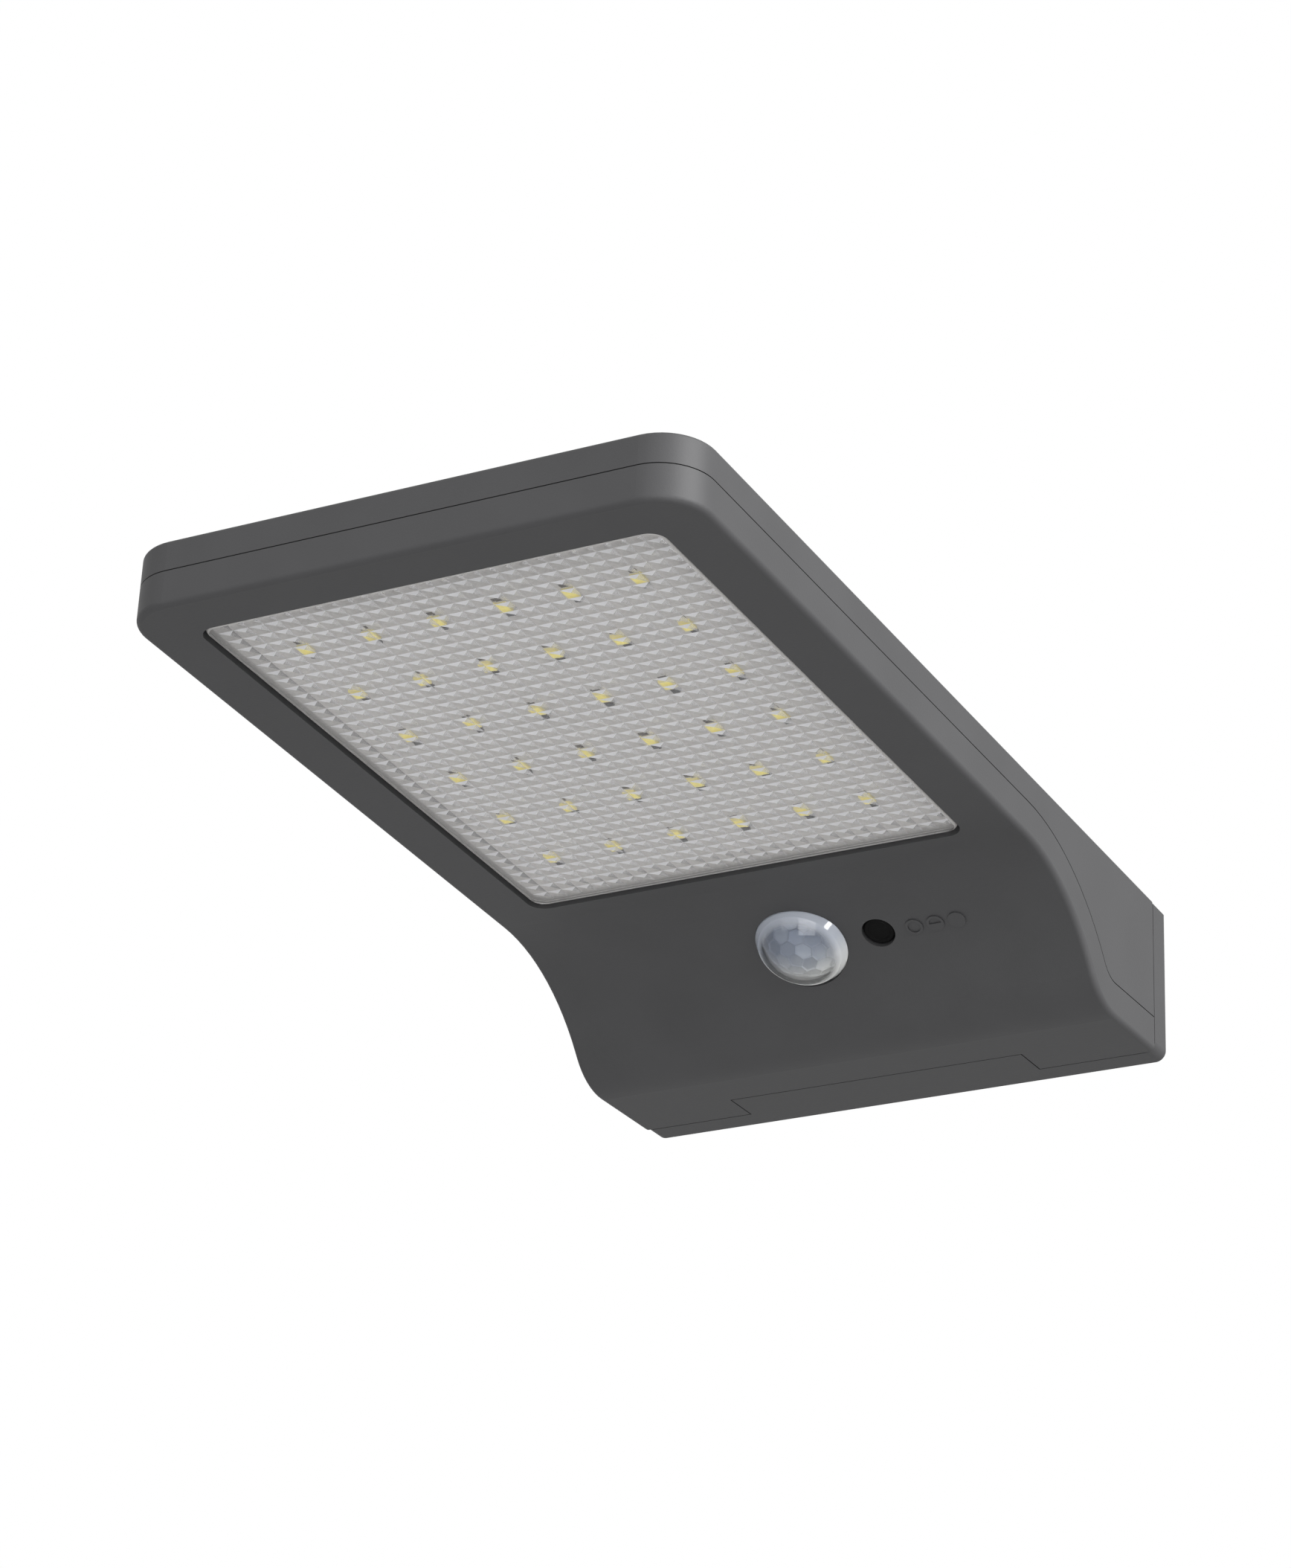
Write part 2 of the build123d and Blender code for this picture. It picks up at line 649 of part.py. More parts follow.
def plug(x, y, z0, z1):
    w, l, h = PLUG
    return slab(w, l, z0, z1, x, y)


def control_plugs():
    places = (LED_PLUG, PANEL_PLUG, BATTERY_PLUG)
    return [plug(x, y, CONTROL_BACK - PLUG[2], CONTROL_BACK) for x, y in places]


LED_BOARD_PLUG = (-20.0, LENS_Y + LED_BOARD_L / 2 - PLUG[1] / 2)


def make_led_plug():
    z = LED_BOARD_Z + BOARD_T
    return plug(*LED_BOARD_PLUG, z, z + PLUG[2])


# ---- battery ----
along_x = Pos(0, CELL_Y, CELL_Z) * Rot(0, 90, 0)


def make_cell():
    made = Cylinder(CELL_D / 2, CELL_L)
    return along_x * fillet(made.edges(), 0.6)


def make_terminal():
    return along_x * rod(TERMINAL_D, CELL_L / 2, CELL_L / 2 + TERMINAL_H)


def make_strips():
    made = []
    for s, base in ((1, CELL_L / 2 + TERMINAL_H), (-1, CELL_L / 2)):
        x0, x1 = sorted((s * base, s * (base + STRIP_T)))
        made.append(block(x0, x1, CELL_Y - STRIP / 2, CELL_Y + STRIP / 2,
                          CELL_Z - STRIP * 0.25, CELL_Z + STRIP * 0.7))
    return made


def make_cradle():
    bore = CELL_D / 2 + CRADLE_CLEAR
    floor = BODY_BOTTOM + WALL
    made = along_x * Cylinder(bore + CRADLE_T, CRADLE_L)
    foot = block(-CRADLE_L / 2, CRADLE_L / 2, CELL_Y - CRADLE_FOOT_W / 2, CELL_Y + CRADLE_FOOT_W / 2 - 1,
                 floor, CELL_Z - bore / 2)
    seat = floor + EAR_POST_H
    ear_x = EAR_X + POST_D / 2
    ears = block(-ear_x, ear_x, CELL_Y - POST_D / 2, CELL_Y + POST_D / 2, seat, seat + EAR_T)
    made += foot + ears
    made -= block(-BODY_W, BODY_W, CELL_Y - CELL_D, CELL_Y + CELL_D, CELL_Z + CRADLE_ARM, CELL_Z + CELL_D)
    made -= along_x * Cylinder(bore, CRADLE_L - 2 * CRADLE_END)
    for x in (-EAR_X, EAR_X):
        made -= rod(SCREW_D, seat - 1, seat + EAR_T + 1, x, CELL_Y)
    return made


def cradle_screws():
    seat = BODY_BOTTOM + WALL + EAR_POST_H + EAR_T
    return [Pos(x, CELL_Y, seat) * screw(0, -1) for x in (-EAR_X, EAR_X)]


# ---- leads ----
def pair(route):
    """Two leads side by side along X."""
    return [
        lead([(x + s * LEAD_PITCH / 2, y, z) for x, y, z in route])
        for s in (-1, 1)
    ]


def led_leads():
    plug_z = LED_BOARD_Z + BOARD_T + PLUG[2] / 2
    entry = CONTROL_BACK - PLUG[2] / 2
    y0 = LED_BOARD_PLUG[1] + PLUG[1] / 2
    x1, y1 = LED_PLUG
    return pair([
        head_point(LED_BOARD_PLUG[0], y0, plug_z),
        head_point(LED_BOARD_PLUG[0], y0 + 8, plug_z),
        sensor_point(x1, y1 + PLUG[1] / 2 + 8, entry),
        sensor_point(x1, y1 + PLUG[1] / 2, entry),
    ])


def panel_leads():
    entry = CONTROL_BACK - PLUG[2] / 2
    x1, y1 = PANEL_PLUG
    return pair([
        head_point(WIRE_HOLE_X, WIRE_Y, BACKING_Z),
        head_point(WIRE_HOLE_X, WIRE_Y, -PANEL_DEPTH - PANEL_FLOOR - 2),
        sensor_point(x1, y1 + PLUG[1] / 2 + 9, entry),
        sensor_point(x1, y1 + PLUG[1] / 2, entry),
    ])


def battery_lead(side):
    entry = CONTROL_BACK - PLUG[2] / 2
    x1, y1 = BATTERY_PLUG
    x1 += side * LEAD_PITCH / 2
    y1 -= PLUG[1] / 2
    end = CELL_L / 2 + STRIP_T + LEAD_D / 2 + (TERMINAL_H if side > 0 else 0)
    points = [
        (side * end, CELL_Y + 2, CELL_Z + 3),
        (side * end, CELL_Y - 9, CELL_Z + 10),
    ]
    if side < 0:
        points.append((-18.0, CELL_Y - 14, CELL_Z + 11))
        points.append((2.0, CELL_Y - 15, CELL_Z + 11))
    points.append(sensor_point(x1, y1 - 8, entry))
    points.append(sensor_point(x1, y1, entry))
    return lead(points)


# ---- write the pieces ----
nodes = {
    "wall_bracket": make_bracket(),
    "top_shell": make_top_shell(),
    "bottom_shell": make_bottom_shell(),
    "seam_gasket": make_seam_gasket(),
    "panel_pad": head(make_panel_pad()),
    "panel_backing": head(slab(PANEL_W, PANEL_L, BACKING_Z, CELL_BASE, y=PANEL_Y, r=PANEL_R)),
    "solar_cells": together(solar_cells(), head),
    "cell_ribbons": together(solar_ribbons(), head),
    "panel_cover": head(make_cover()),
    "prism_lens": head(make_lens()),
    "lens_seal": head(make_lens_seal()),
    "led_board": head(make_led_board()),
    "led_packages": together(led_bodies(), head),
    "led_phosphor": together(led_windows(), head),
    "led_resistors": together(resistors(), head),
    "led_board_plug": head(make_led_plug()),
    "led_board_screws": together([p * screw(LED_BOARD_Z + BOARD_T, -1) for p in led_post_places()], head),
    "pir_dome": sensor(make_dome()),
    "dome_seal": sensor(make_dome_seal()),
    "dome_holder": sensor(make_dome_holder()),
    "pir_sensor": sensor(make_can()),
    "pir_window": sensor(make_can_window()),
    "control_board": sensor(make_control_board()),
    "control_board_screws": together([p * screw(CONTROL_BACK, 1) for p in control_screw_places()], sensor),
    "control_chips": together(control_chips(), sensor),
    "control_capacitor": sensor(make_capacitor()),
    "control_plugs": together(control_plugs(), sensor),
    "tact_switch": sensor(make_switch()),
    "switch_plunger": sensor(make_plunger()),
    "mode_button": sensor(make_button()),
    "battery_cell": make_cell(),
    "battery_terminal": make_terminal(),
    "battery_strips": together(make_strips()),
    "battery_cradle": make_cradle(),
    "cradle_screws": together(cradle_screws()),
    "led_leads": together(led_leads()),
    "panel_leads": together(panel_leads()),
    "battery_lead_red": battery_lead(1),
    "battery_lead_black": battery_lead(-1),
}

os.makedirs("parts", exist_ok=True)
for name, shape in nodes.items():
    export_step(shape, f"parts/{name}.step")
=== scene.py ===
import math

import bmesh
import bpy
from bpy.props import FloatProperty, IntProperty, PointerProperty, StringProperty
from mathutils import Matrix, Vector


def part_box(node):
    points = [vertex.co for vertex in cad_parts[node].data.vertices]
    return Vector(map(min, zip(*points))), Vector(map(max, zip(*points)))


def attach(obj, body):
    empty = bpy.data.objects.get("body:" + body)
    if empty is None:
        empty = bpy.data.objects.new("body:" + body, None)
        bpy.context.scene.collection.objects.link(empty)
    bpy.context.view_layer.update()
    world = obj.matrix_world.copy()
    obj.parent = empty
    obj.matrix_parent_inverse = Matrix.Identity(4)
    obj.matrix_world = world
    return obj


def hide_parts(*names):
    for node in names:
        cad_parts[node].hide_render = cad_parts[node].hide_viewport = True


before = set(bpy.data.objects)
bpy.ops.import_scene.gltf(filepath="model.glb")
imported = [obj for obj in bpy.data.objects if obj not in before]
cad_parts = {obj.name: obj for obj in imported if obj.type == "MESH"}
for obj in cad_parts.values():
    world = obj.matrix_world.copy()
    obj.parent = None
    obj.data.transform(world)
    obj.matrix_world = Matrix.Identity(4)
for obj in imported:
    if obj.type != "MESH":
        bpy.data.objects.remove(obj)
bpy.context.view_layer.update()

bl_info = {
    "name": "Solar wall lamp",
    "version": (1, 0, 0),
    "blender": (4, 5, 0),
    "location": "View3D > Sidebar > Solar lamp",
    "description": "Lens, sensor dome, button, cells and finishes of a solar wall lamp",
    "category": "Add Mesh",
}

MM = 0.001


# ---------------------------------------------------------------- sizes and colours
class LampSizes(bpy.types.PropertyGroup):
    tilt: FloatProperty(name="Head tilt", description="Rise of the head towards its free end",
                        default=math.radians(2.9), subtype="ANGLE")
    sensor_tilt: FloatProperty(name="Sensor tilt", description="Turn of the dome from straight down",
                               default=math.radians(31.0), subtype="ANGLE")
    prism_columns: IntProperty(name="Prism columns", description="Prisms across the lens", default=28)
    prism_rows: IntProperty(name="Prism rows", description="Prisms along the lens", default=38)
    prism_pitch: FloatProperty(name="Prism pitch", description="Side of one square prism",
                               default=3.74 * MM, unit="LENGTH")
    prism_depth: FloatProperty(name="Prism depth", description="Height of one prism",
                               default=0.27 * MM, unit="LENGTH")
    lens_width: FloatProperty(name="Lens width", description="Window of the lens across the head",
                              default=107.7 * MM, unit="LENGTH")
    lens_length: FloatProperty(name="Lens length", description="Window of the lens along the head",
                               default=144.1 * MM, unit="LENGTH")
    lens_flange: FloatProperty(name="Lens flange", description="Ledge behind the housing",
                               default=3.5 * MM, unit="LENGTH")
    lens_face: FloatProperty(name="Lens face", description="Outer face below the LED board's middle",
                             default=5.3 * MM, unit="LENGTH")
    lens_back: FloatProperty(name="Lens back", description="Inner face below the LED board's middle",
                             default=1.9 * MM, unit="LENGTH")
    flange_thickness: FloatProperty(name="Flange thickness", description="Thickness of the ledge",
                                    default=1.2 * MM, unit="LENGTH")
    lens_corner: FloatProperty(name="Lens corner", description="Corner radius of the window",
                               default=3.5 * MM, unit="LENGTH")
    lens_edge: FloatProperty(name="Lens edge", description="Round of the window's outer edge",
                             default=1.2 * MM, unit="LENGTH")
    dome_diameter: FloatProperty(name="Dome diameter", description="Sensor dome where it leaves the housing",
                                 default=21.5 * MM, unit="LENGTH")
    dome_height: FloatProperty(name="Dome height", description="Top of the dome over the housing",
                               default=7.0 * MM, unit="LENGTH")
    dome_wall: FloatProperty(name="Dome wall", description="Thickness of the dome",
                             default=0.9 * MM, unit="LENGTH")
    led_pitch_x: FloatProperty(name="LED pitch across", description="Spacing of the LEDs across the head",
                               default=15.8 * MM, unit="LENGTH")
    led_pitch_y: FloatProperty(name="LED pitch along", description="Spacing of the LEDs along the head",
                               default=21.35 * MM, unit="LENGTH")
    led_count: IntProperty(name="LEDs per row", description="LEDs in each row and column", default=6)


class LampColours(bpy.types.PropertyGroup):
    shell: StringProperty(name="Shell", description="Moulded housing", default="#343435")
    lens: StringProperty(name="Lens", description="Clear lens tint", default="#fafafb")
    mask: StringProperty(name="LED board", description="White solder mask", default="#bdbab6")
    phosphor: StringProperty(name="Phosphor", description="LED phosphor", default="#f9ea7c")
    # The dome's tone on its side away from the wall: its darker, bluer look there is painted shade.
    dome: StringProperty(name="Dome", description="Milky sensor dome", default="#a3a8b1")
    silicon: StringProperty(name="Silicon", description="Solar cells", default="#10182c")
    battery: StringProperty(name="Battery sleeve", description="Shrink sleeve", default="#2a6a9c")


def sizes():
    return bpy.context.scene.lamp_sizes


def colours():
    return bpy.context.scene.lamp_colours


# ---------------------------------------------------------------- materials
def linear(code):
    """Linear colour of an sRGB hex value."""
    parts = [int(code[i:i + 2], 16) / 255 for i in (1, 3, 5)]
    return tuple(c / 12.92 if c <= 0.04045 else ((c + 0.055) / 1.055) ** 2.4 for c in parts) + (1.0,)


def node(material, kind, settings=None, links=None):
    """Adds a node; settings are attributes or input values, links go from other nodes' outputs."""
    made = material.node_tree.nodes.new(kind)
    for key, value in (settings or {}).items():
        if isinstance(key, str) and hasattr(made, key):
            setattr(made, key, value)
        else:
            made.inputs[key].default_value = value
    for key, source in (links or {}).items():
        material.node_tree.links.new(source, made.inputs[key])
    return made


def plain(name, **values):
    """A material with its shader's own sockets set, and that shader."""
    made = bpy.data.materials.new(name)
    made.use_nodes = True
    shader = made.node_tree.nodes["Principled BSDF"]
    for key, value in values.items():
        shader.inputs[key.replace("_", " ")].default_value = value
    return made, shader


def object_place(made):
    """The piece's own coordinates in metres."""
    return node(made, "ShaderNodeTexCoord").outputs["Object"]


def grained(made, shader, grain, depth, low, high, mottle=0.0, colour=None, spread=18 * MM):
    """Bump of the given grain size, roughness between low and high, and a slow change of colour by
    the share mottle over the distance spread."""
    place = object_place(made)
    grit = node(made, "ShaderNodeTexNoise", {"Scale": 1 / grain, "Detail": 3.0, "Roughness": 0.6},
                {"Vector": place})
    bump = node(made, "ShaderNodeBump", {"Strength": 1.0, "Distance": depth}, {"Height": grit.outputs["Fac"]})
    made.node_tree.links.new(bump.outputs["Normal"], shader.inputs["Normal"])
    cloud = node(made, "ShaderNodeTexNoise", {"Scale": 1 / spread, "Detail": 2.0}, {"Vector": place})
    rough = node(made, "ShaderNodeMapRange", {"To Min": low, "To Max": high}, {"Value": cloud.outputs["Fac"]})
    made.node_tree.links.new(rough.outputs["Result"], shader.inputs["Roughness"])
    if colour:
        base = Vector(linear(colour)[:3])
        ramp = node(made, "ShaderNodeValToRGB", {}, {"Fac": cloud.outputs["Fac"]})
        for stop, position, change in zip(ramp.color_ramp.elements, (0.35, 0.65), (-mottle, mottle)):
            stop.position = position
            stop.color = (*(base * (1 + change)), 1)
        made.node_tree.links.new(ramp.outputs["Color"], shader.inputs["Base Color"])
    return made


def spark_textured_abs():
    """ABS moulded in a spark-eroded tool: an even, matt dark grey with a fine dry grain.
    The real grain of 0.1 mm is too fine to show and is drawn at 0.5 mm."""
    made, shader = plain("spark_textured_abs", IOR=1.53, Specular_IOR_Level=0.25)
    return grained(made, shader, 0.5 * MM, 0.02 * MM, 0.52, 0.6, 0.04, colours().shell)


def black_abs():
    """Plain moulded black ABS: hidden brackets with a soft sheen."""
    made, shader = plain("moulded_black_abs", IOR=1.53)
    return grained(made, shader, 0.8 * MM, 0.02 * MM, 0.4, 0.5, 0.1, "#1c1c1d")


def black_silicone():
    """Moulded silicone rubber: deep black that takes almost no highlight."""
    made, shader = plain("moulded_black_silicone", IOR=1.41, Specular_IOR_Level=0.15)
    return grained(made, shader, 0.6 * MM, 0.02 * MM, 0.75, 0.85, 0.1, "#050505")


def polished_acrylic():
    """Injection-moulded acrylic with a polished face: clear; its bright prism facets are a painted reflection
    drawn with their own material.
    """
    made, shader = plain("polished_acrylic", IOR=1.49, Transmission_Weight=1.0,
                         Base_Color=linear(colours().lens))
    return grained(made, shader, 6 * MM, 0.004 * MM, 0.03, 0.06)


def painted_reflection_facet(share):
    """Polished prism facets that turn the light of the surroundings back towards the eye, drawn as a painted
    reflection: an opaque milky white instead of a view of the board. A smaller share leaves more of the board
    showing."""
    made, shader = plain("prism_facet_painted_reflection", IOR=1.49, Transmission_Weight=1.0 - share,
                         Base_Color=linear("#f6f6f8"))
    return grained(made, shader, 6 * MM, 0.004 * MM, 0.15, 0.25)


def satin_edge_painted_shade():
    """Rounded outer edge of the lens, left satin by the mould, with painted shade: a soft grey, mostly opaque
    line round the window that stands in for the darker look of the clear edge.
    """
    made, shader = plain("satin_acrylic_edge_painted_shade", IOR=1.49, Transmission_Weight=0.2)
    return grained(made, shader, 0.8 * MM, 0.01 * MM, 0.35, 0.45, 0.03, "#aaa8a6", 6 * MM)


def solder_mask_white():
    """Screen-printed white solder mask on fibreglass: flat white, faintly uneven."""
    made, shader = plain("white_solder_mask", IOR=1.5)
    return grained(made, shader, 1.2 * MM, 0.02 * MM, 0.35, 0.5, 0.09, colours().mask, 0.7 * MM)


def solder_mask_green():
    """Green solder mask on fibreglass with the weave just showing through."""
    made, shader = plain("green_solder_mask", IOR=1.5)
    return grained(made, shader, 0.9 * MM, 0.02 * MM, 0.25, 0.35, 0.12, "#1d5a34", 5 * MM)


def reflector_plastic():
    """White reflector plastic of the LED packages, stained yellow by the phosphor beside it."""
    made, shader = plain("white_reflector_plastic", IOR=1.5)
    return grained(made, shader, 0.4 * MM, 0.01 * MM, 0.3, 0.4, 0.03, "#ecdf94", 2 * MM)


def phosphor_gel():
    """Silicone gel filled with yellow phosphor: a saturated soft yellow when unlit."""
    made, shader = plain("phosphor_gel", IOR=1.41)
    return grained(made, shader, 0.3 * MM, 0.02 * MM, 0.3, 0.45, 0.06, colours().phosphor, 0.8 * MM)


def black_epoxy():
    """Moulded epoxy and fired ceramic of small components."""
    made, shader = plain("black_epoxy", IOR=1.55)
    return grained(made, shader, 0.4 * MM, 0.02 * MM, 0.4, 0.55, 0.1, "#18181a", 2 * MM)


def dull_solder():
    """Reflowed solder that has dulled: grey metal with small ripples."""
    made, shader = plain("dull_solder", Metallic=1.0)
    return grained(made, shader, 0.5 * MM, 0.05 * MM, 0.5, 0.7, 0.15, "#4c443b", 1 * MM)


def painted_shade_towards_wall(made, shader, far, near):
    """Painted shade: colour that drifts in soft clouds from far, the darker, bluer tone on the side of the
    sensor dome away from the wall, to near, the whiter tone where more light falls towards the wall; returns
    the offset from the dome's own centre."""
    dome = sensor_place()
    cloud_size, cloud_shift = 3 * MM, 5 * MM
    near_end, far_end = -3 * MM, 5 * MM
    place = object_place(made)
    offset = node(made, "ShaderNodeVectorMath", {"operation": "SUBTRACT", 1: dome.translation}, {0: place})
    along = node(made, "ShaderNodeVectorMath", {"operation": "DOT_PRODUCT", 1: dome.col[1].xyz},
                 {0: offset.outputs["Vector"]})
    cloud = node(made, "ShaderNodeTexNoise", {"Scale": 1 / cloud_size, "Detail": 1.0}, {"Vector": place})
    drift = node(made, "ShaderNodeMath", {"operation": "MULTIPLY_ADD", 1: cloud_shift},
                 {0: cloud.outputs["Fac"], 2: along.outputs["Value"]})
    share = node(made, "ShaderNodeMapRange", {"From Min": near_end, "From Max": far_end},
                 {"Value": drift.outputs[0]})
    tone = node(made, "ShaderNodeMix", {"data_type": "RGBA", 6: linear(near), 7: linear(far)},
                {0: share.outputs["Result"]})
    made.node_tree.links.new(tone.outputs[2], shader.inputs["Base Color"])
    return offset.outputs["Vector"]


def milky_polyethylene():
    """Moulded polyethylene that passes infrared: glossy, clear enough over the lens cells to show
    them, and milky towards the thicker rim."""
    made, shader = plain("milky_polyethylene", IOR=1.51)
    grained(made, shader, 4 * MM, 0.01 * MM, 0.03, 0.06)
    clear_radius, milky_radius = 8.2 * MM, 9.8 * MM
    # Painted shade: from the dome colour on the side away from the wall to a lighter #c6c7c6 towards it.
    offset = painted_shade_towards_wall(made, shader, colours().dome, "#c6c7c6")
    across = node(made, "ShaderNodeVectorMath", {"operation": "CROSS_PRODUCT", 1: sensor_place().col[2].xyz},
                  {0: offset})
    radius = node(made, "ShaderNodeVectorMath", {"operation": "LENGTH"}, {0: across.outputs["Vector"]})
    clear = node(made, "ShaderNodeMapRange",
                 {"From Min": clear_radius, "From Max": milky_radius, "To Min": 0.92, "To Max": 0.1},
                 {"Value": radius.outputs["Value"]})
    made.node_tree.links.new(clear.outputs["Result"], shader.inputs["Transmission Weight"])
    return made


def lens_cell(name, far, near):
    """Moulded polyethylene lens cell with painted shade: blue grey on the side away from the wall, whiter
    towards it where more light falls. The cells come in three painted tones, lit and shaded copies of one
    material, standing in for each being tipped its own way to the light."""
    made, shader = plain(name, IOR=1.51)
    grained(made, shader, 0.5 * MM, 0.02 * MM, 0.3, 0.4)
    painted_shade_towards_wall(made, shader, far, near)
    return made


def clear_laminate():
    """Clear weatherproof laminate over the cells: glassy with a slight orange peel."""
    made, shader = plain("clear_laminate", IOR=1.5, Specular_IOR_Level=0.25, Transmission_Weight=1.0,
                         Base_Color=linear("#f2f5f8"))
    return grained(made, shader, 3 * MM, 0.006 * MM, 0.05, 0.1)


def silicon_wafer():
    """Textured silicon: deep blue black that varies from crystal to crystal, with screen-printed
    silver fingers across each cell."""
    finger_pitch, finger_share, crystal = 2 * MM, 0.1, 7 * MM
    made, shader = plain("printed_silicon_wafer", IOR=1.6)
    grained(made, shader, 0.8 * MM, 0.01 * MM, 0.25, 0.35)
    place = object_place(made)
    split = node(made, "ShaderNodeSeparateXYZ", {}, {"Vector": place})
    turn = node(made, "ShaderNodeMath", {"operation": "DIVIDE", 1: finger_pitch}, {0: split.outputs["Y"]})
    part = node(made, "ShaderNodeMath", {"operation": "FRACT"}, {0: turn.outputs[0]})
    line = node(made, "ShaderNodeMath", {"operation": "LESS_THAN", 1: finger_share}, {0: part.outputs[0]})
    tint = node(made, "ShaderNodeTexVoronoi", {"Scale": 1 / crystal}, {"Vector": place})
    wafer = node(made, "ShaderNodeMix",
                 {"data_type": "RGBA", 6: linear(colours().silicon), 7: linear("#16233f")},
                 {0: tint.outputs["Distance"]})
    paste = node(made, "ShaderNodeMix", {"data_type": "RGBA", 7: linear("#8d939b")},
                 {0: line.outputs[0], 6: wafer.outputs[2]})
    made.node_tree.links.new(paste.outputs[2], shader.inputs["Base Color"])
    return made


def metal(name, colour, low, high):
    """Plated or drawn metal: a clean reflection softened by fine drawing and handling marks."""
    made, shader = plain(name, Metallic=1.0)
    return grained(made, shader, 0.6 * MM, 0.01 * MM, low, high, 0.05, colour, 3 * MM)


def coated(name, colour, low, high, ior=1.5):
    """Moulded, extruded or printed plastic: one body colour with a soft sheen and faint unevenness."""
    made, shader = plain(name, IOR=ior)
    return grained(made, shader, 0.8 * MM, 0.01 * MM, low, high, 0.06, colour, 4 * MM)


def finish_table():
    """Finish of each CAD node that is shown as it stands."""
    finishes = (
        # Dark grey housing; hidden holders are blacker and glossier.
        (spark_textured_abs(), "wall_bracket", "top_shell", "bottom_shell"),
        (black_abs(), "dome_holder", "battery_cradle", "tact_switch"),
        # Seals and the pad read as dull black lines.
        (black_silicone(), "seam_gasket", "lens_seal", "dome_seal", "panel_pad"),
        # Solar panel: near-black board, blue-black cells with silver ribbons, glassy cover.
        (coated("black_solder_mask", "#15171b", 0.35, 0.5), "panel_backing"),
        (silicon_wafer(), "solar_cells"),
        (metal("tinned_copper_ribbon", "#b8bcc2", 0.25, 0.4), "cell_ribbons"),
        (clear_laminate(), "panel_cover"),
        # LED board: white ground, yellow LEDs, dark resistors, cream plugs.
        (solder_mask_white(), "led_board"),
        (reflector_plastic(), "led_packages"),
        (phosphor_gel(), "led_phosphor"),
        (black_epoxy(), "led_resistors", "control_chips"),
        (coated("natural_nylon", "#d9d3c2", 0.4, 0.5, 1.53), "led_board_plug", "control_plugs"),
        # Bluish zinc on the screws, warmer nickel on the sensor can and battery strips.
        (metal("zinc_plated_steel", "#9a9ca0", 0.3, 0.42),
         "led_board_screws", "control_board_screws", "cradle_screws"),
        (metal("nickel_plated_steel", "#b9b4a8", 0.25, 0.35),
         "pir_sensor", "battery_terminal", "battery_strips"),
        # Sensor window: dark, glossy and slightly brown.
        (coated("infrared_filter", "#3b3431", 0.1, 0.2, 1.6), "pir_window"),
        (solder_mask_green(), "control_board"),
        (metal("drawn_aluminium_can", "#b4b6ba", 0.25, 0.35), "control_capacitor"),
        (coated("red_acetal", "#8e2119", 0.35, 0.45), "switch_plunger"),
        (coated("printed_shrink_sleeve", colours().battery, 0.2, 0.3), "battery_cell"),
        (coated("white_pvc_insulation", "#d8d8d6", 0.35, 0.45), "led_leads", "panel_leads"),
        (coated("red_pvc_insulation", "#a01d18", 0.35, 0.45), "battery_lead_red"),
        (coated("black_pvc_insulation", "#151516", 0.35, 0.45), "battery_lead_black"),
    )
    return {name: material for material, *names in finishes for name in names}


# ---------------------------------------------------------------- modelling helpers
def head_place():
    """Place of the LED board's middle, turned with the head: +Z away from the lens."""
    low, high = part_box("led_board")
    return Matrix.Translation((low + high) / 2) @ Matrix.Rotation(-sizes().tilt, 4, "X")


def sensor_place():
    """Place on the housing's surface under the dome: +Z out of the lamp."""
    low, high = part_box("dome_holder")
    to_surface = Matrix.Translation((0, 0, 6.5 * MM))
    turned = Matrix.Rotation(math.pi - sizes().sensor_tilt, 4, "X")
    return Matrix.Translation((low + high) / 2) @ turned @ to_surface


def fresh():
    """Nothing selected, object mode."""
    if bpy.context.object and bpy.context.object.mode != "OBJECT":
        bpy.ops.object.mode_set(mode="OBJECT")
    bpy.ops.object.select_all(action="DESELECT")


def begin(name):
    """Names the primitive just added, applies its place and opens it in edit mode."""
    made = bpy.context.object
    made.name = name
    made.data.name = name
    bpy.ops.object.transform_apply(location=True, rotation=True, scale=True)
    bpy.ops.object.mode_set(mode="EDIT")
    return made


def pick(made, kind, test):
    """In edit mode, selects only the faces whose middle and normal pass the test, or only the edges
    whose middle and own data do."""
    bpy.ops.mesh.select_mode(type=kind)
    bpy.ops.mesh.select_all(action="DESELECT")
    mesh = bmesh.from_edit_mesh(made.data)
    if kind == "FACE":
        for f in mesh.faces:
            f.select_set(bool(test(f.calc_center_median(), f.normal)))
    if kind == "EDGE":
        for e in mesh.edges:
            e.select_set(bool(test((e.verts[0].co + e.verts[1].co) / 2, e)))
    mesh.select_flush_mode()
    bmesh.update_edit_mesh(made.data)


def grow(scale, move=(0, 0, 0)):
    """Extrudes the picked edges, then scales and moves the new ring."""
    bpy.ops.mesh.extrude_edges_move()
    bpy.ops.transform.resize(value=(*scale, 1), center_override=(0, 0, 0))
    if any(move):
        bpy.ops.transform.translate(value=move)


def thicken(made, thickness):
    """Gives the shell its wall, inwards."""
    bpy.ops.object.mode_set(mode="OBJECT")
    wall = made.modifiers.new("wall", "SOLIDIFY")
    wall.thickness = thickness
    wall.offset = -1
    bpy.ops.object.modifier_apply(modifier=wall.name)


def face_outwards():
    """In edit mode, turns every normal outwards."""
    bpy.ops.mesh.select_all(action="SELECT")
    bpy.ops.mesh.normals_make_consistent(inside=False)


